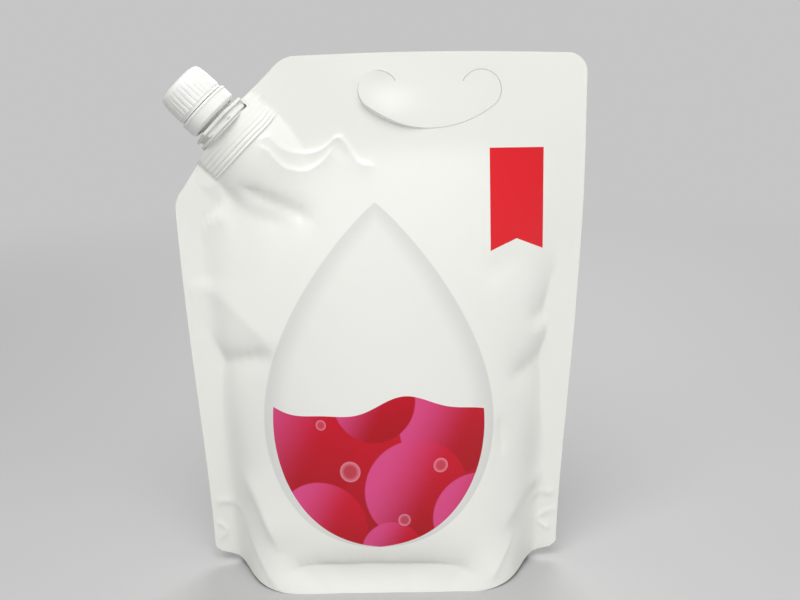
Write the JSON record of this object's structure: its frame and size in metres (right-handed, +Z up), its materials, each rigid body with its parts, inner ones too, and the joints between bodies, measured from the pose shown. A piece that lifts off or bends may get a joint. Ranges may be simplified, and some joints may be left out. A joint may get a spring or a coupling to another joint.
{
  "type": "detergent spout pouch",
  "caption": "Filled stand-up film pouch with a gusseted base, a die-cut carrying handle and a ribbed screw cap on a spout welded into its cut corner.",
  "frame": {"origin": "centre of the flat underside of the filled pouch, on the surface it stands on", "axes": "+Z up, the printed front faces -Y, +X towards the right side weld seen from the front; the spout leans out towards -X"},
  "size_m": [0.2019, 0.0766, 0.26],
  "materials": {
    "film": "white laminated film, satin gloss",
    "spout_plastic": "natural white moulded plastic",
    "cap_plastic": "white moulded plastic",
    "liner": "soft pressed foam"
  },
  "bodies": {
    "root": {"pouch": "film", "spout": "spout_plastic", "tamper_band": "cap_plastic"},
    "liner": {"cap_liner": "liner"},
    "cap": {"screw_cap": "cap_plastic"}
  },
  "joints": [
    {"name": "cap_lift", "type": "slide", "parent": "root", "child": "liner", "axis": [-0.7071, 0, 0.7071], "range_m": [0, 0.0075]},
    {"name": "cap_turn", "type": "hinge", "parent": "liner", "child": "cap", "pos_m": [-0.07265, 0, 0.22575], "axis": [-0.7071, 0, 0.7071], "range_deg": [0, 900]}
  ],
  "couplings": [
    {"joint": "cap_lift", "follows": "cap_turn", "m_per_rad": 0.00047746}
  ]
}
